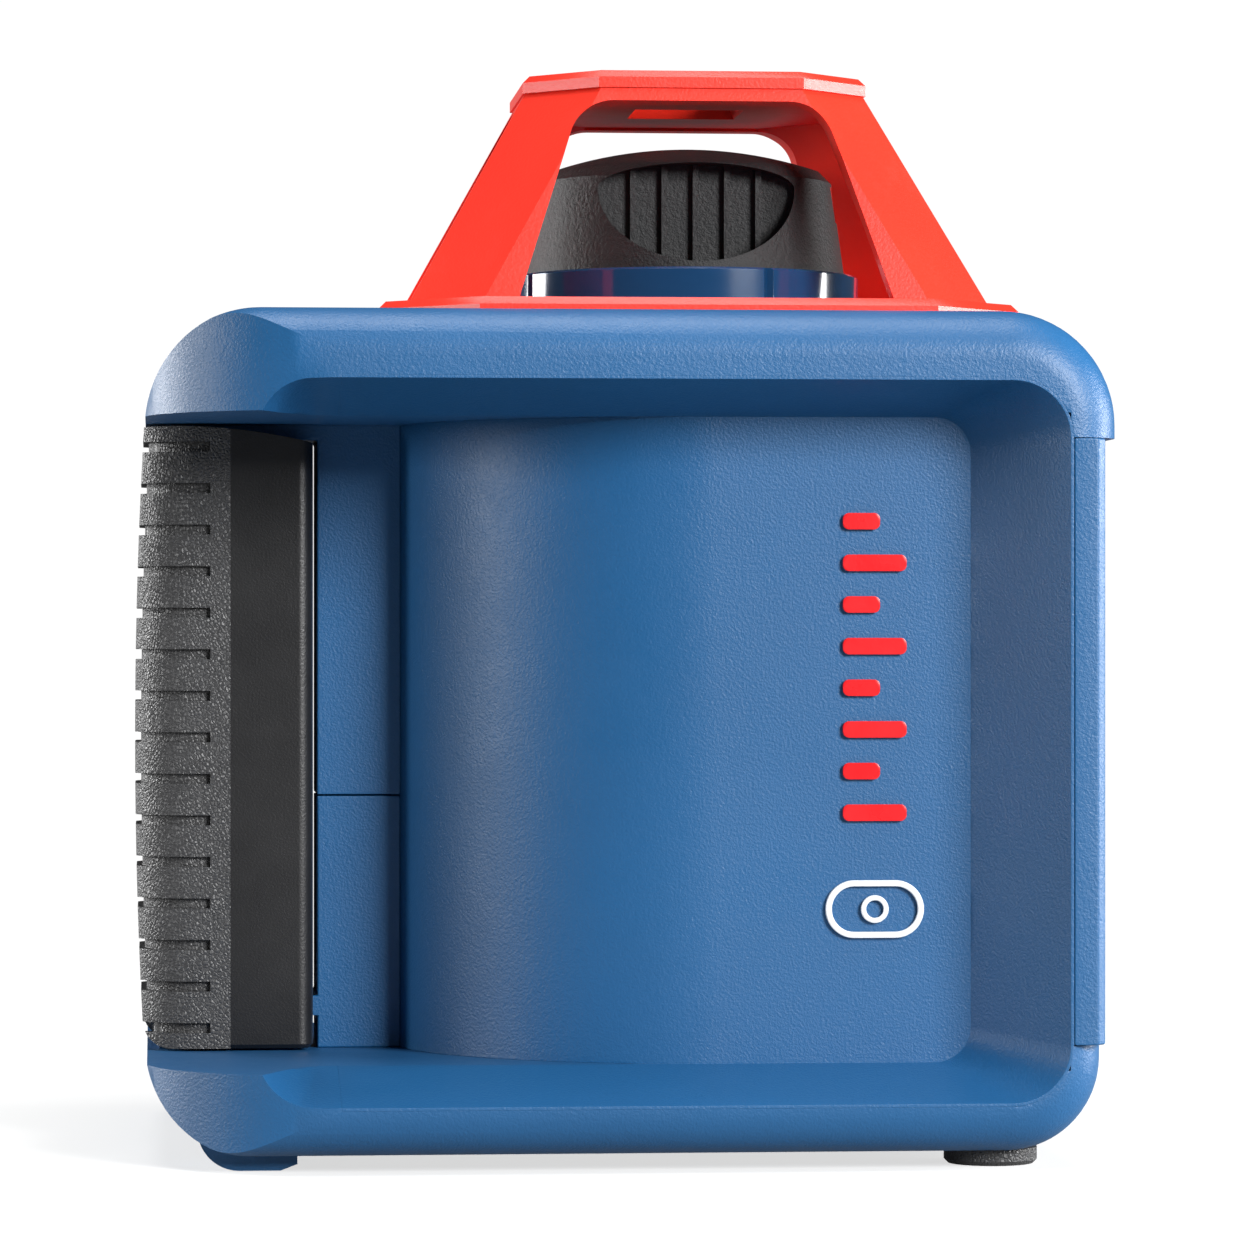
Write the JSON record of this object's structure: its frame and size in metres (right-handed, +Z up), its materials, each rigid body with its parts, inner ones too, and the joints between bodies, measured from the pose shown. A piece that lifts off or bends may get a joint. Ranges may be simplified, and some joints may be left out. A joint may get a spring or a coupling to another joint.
{
  "type": "rotating laser level",
  "caption": "Self-levelling rotary laser: cased body with carrying grip, caged spinning head, tripod threads in base and end.",
  "frame": {"origin": "mouth of the tripod thread in the base, on the rotor axis and on the plane of the feet", "axes": "+Z up along the rotor axis, +X towards the flat end with the second thread (the grip is at -X), +Y towards the keypad"},
  "size_m": [0.1874, 0.168, 0.214],
  "materials": {
    "blue_case": "fine moulded grain",
    "black_plastic": "satin moulded",
    "black_rubber": "leather grain",
    "red_cage": "satin moulded",
    "navy_gloss": "polished",
    "red_mark": "gloss",
    "white_mark": "gloss",
    "brass": "turned",
    "steel": "zinc plated",
    "alloy": "machined",
    "board": "solder mask",
    "lens": "polished",
    "red_glass": "tinted",
    "cell": "foil sleeve"
  },
  "bodies": {
    "housing": {"top_cap": "blue_case", "bottom_cap": "blue_case", "side_shell_near": "blue_case", "side_shell_far": "blue_case", "end_plate": "blue_case", "battery_case_lower": "blue_case", "battery_case_upper": "blue_case", "battery_cells": "cell", "battery_contact": "steel", "battery_spring": "steel", "hinge_pin": "steel", "head_cage": "red_cage", "cage_screws": "steel", "turret_ring": "navy_gloss", "head_gasket": "black_rubber", "case_seals": "black_rubber", "tie_screws": "steel", "tripod_insert_base": "brass", "tripod_insert_side": "brass", "front_feet": "black_rubber", "scale_badge": "red_mark", "vial_badge": "white_mark", "gimbal_frame": "alloy", "tilt_motors": "steel", "keypad_bezel": "black_plastic", "keypad_board": "board", "keypad_pillars": "alloy", "status_lenses": "lens", "main_board": "board", "board_standoffs": "steel"},
    "battery_lid": {"grip_core": "black_plastic", "grip_pad": "black_rubber"},
    "gimbal": {"gimbal_ring": "alloy", "pitch_pins": "steel"},
    "laser_unit": {"laser_tube": "alloy", "roll_pins": "steel", "laser_diode": "alloy", "collimator_lens": "lens", "vial_holder": "black_plastic", "level_vials": "lens", "motor_mount": "black_plastic", "drive_motor": "steel", "drive_belt": "black_rubber", "head_bearings": "steel", "hub_circlip": "steel"},
    "rotor": {"rotor_hub": "alloy", "rotor_cap": "black_plastic", "laser_window": "red_glass", "pentaprism": "lens", "prism_holder": "black_plastic"},
    "motor_spindle": {"motor_pulley": "brass"},
    "pitch_nut_body": {"pitch_nut": "brass"},
    "pitch_screw_body": {"pitch_screw": "steel"},
    "roll_nut_body": {"roll_nut": "brass"},
    "roll_screw_body": {"roll_screw": "steel"},
    "power_button": {"button_power": "black_rubber"},
    "speed_button": {"button_speed": "black_rubber"},
    "slope_button": {"button_slope": "black_rubber"},
    "manual_button": {"button_manual": "black_rubber"}
  },
  "joints": [
    {"name": "lid_hinge", "type": "hinge", "parent": "housing", "child": "battery_lid", "pos_m": [-0.1042, 0, 0.0255], "axis": [0, -1, 0], "range_deg": [0, 85]},
    {"name": "level_pitch", "type": "hinge", "parent": "housing", "child": "gimbal", "pos_m": [0, 0, 0.165], "axis": [1, 0, 0], "range_deg": [-5, 5]},
    {"name": "level_roll", "type": "hinge", "parent": "gimbal", "child": "laser_unit", "pos_m": [0, 0, 0.165], "axis": [0, 1, 0], "range_deg": [-5, 5]},
    {"name": "head_spin", "type": "hinge", "parent": "laser_unit", "child": "rotor", "pos_m": [0, 0, 0.175], "axis": [0, 0, 1], "continuous": true},
    {"name": "motor_spin", "type": "hinge", "parent": "laser_unit", "child": "motor_spindle", "pos_m": [-0.01697, 0.01697, 0.16], "axis": [0, 0, 1], "continuous": true},
    {"name": "pitch_nut_travel", "type": "slide", "parent": "housing", "child": "pitch_nut_body", "axis": [0, 0, 1], "range_m": [-0.0026, 0.0026]},
    {"name": "pitch_screw_turn", "type": "hinge", "parent": "housing", "child": "pitch_screw_body", "pos_m": [0, -0.037, 0.14], "axis": [0, 0, 1], "range_deg": [-230, 230]},
    {"name": "roll_nut_travel", "type": "slide", "parent": "housing", "child": "roll_nut_body", "axis": [0, 0, 1], "range_m": [-0.0026, 0.0026]},
    {"name": "roll_screw_turn", "type": "hinge", "parent": "housing", "child": "roll_screw_body", "pos_m": [0.037, 0, 0.14], "axis": [0, 0, 1], "range_deg": [-230, 230]},
    {"name": "power_press", "type": "slide", "parent": "housing", "child": "power_button", "axis": [0, -1, 0], "range_m": [0, 0.0012], "stiffness_N_per_m": 800, "springref_m": -0.0005},
    {"name": "speed_press", "type": "slide", "parent": "housing", "child": "speed_button", "axis": [0, -1, 0], "range_m": [0, 0.0012], "stiffness_N_per_m": 800, "springref_m": -0.0005},
    {"name": "slope_press", "type": "slide", "parent": "housing", "child": "slope_button", "axis": [0, -1, 0], "range_m": [0, 0.0012], "stiffness_N_per_m": 800, "springref_m": -0.0005},
    {"name": "manual_press", "type": "slide", "parent": "housing", "child": "manual_button", "axis": [0, -1, 0], "range_m": [0, 0.0012], "stiffness_N_per_m": 800, "springref_m": -0.0005}
  ],
  "couplings": [
    {"joint": "motor_spin", "follows": "head_spin", "ratio": 3.625},
    {"joint": "pitch_nut_travel", "follows": "level_pitch", "m_per_rad": -0.0285},
    {"joint": "pitch_screw_turn", "follows": "level_pitch", "ratio": -44.768},
    {"joint": "roll_nut_travel", "follows": "level_roll", "m_per_rad": -0.0285},
    {"joint": "roll_screw_turn", "follows": "level_roll", "ratio": -44.768}
  ]
}
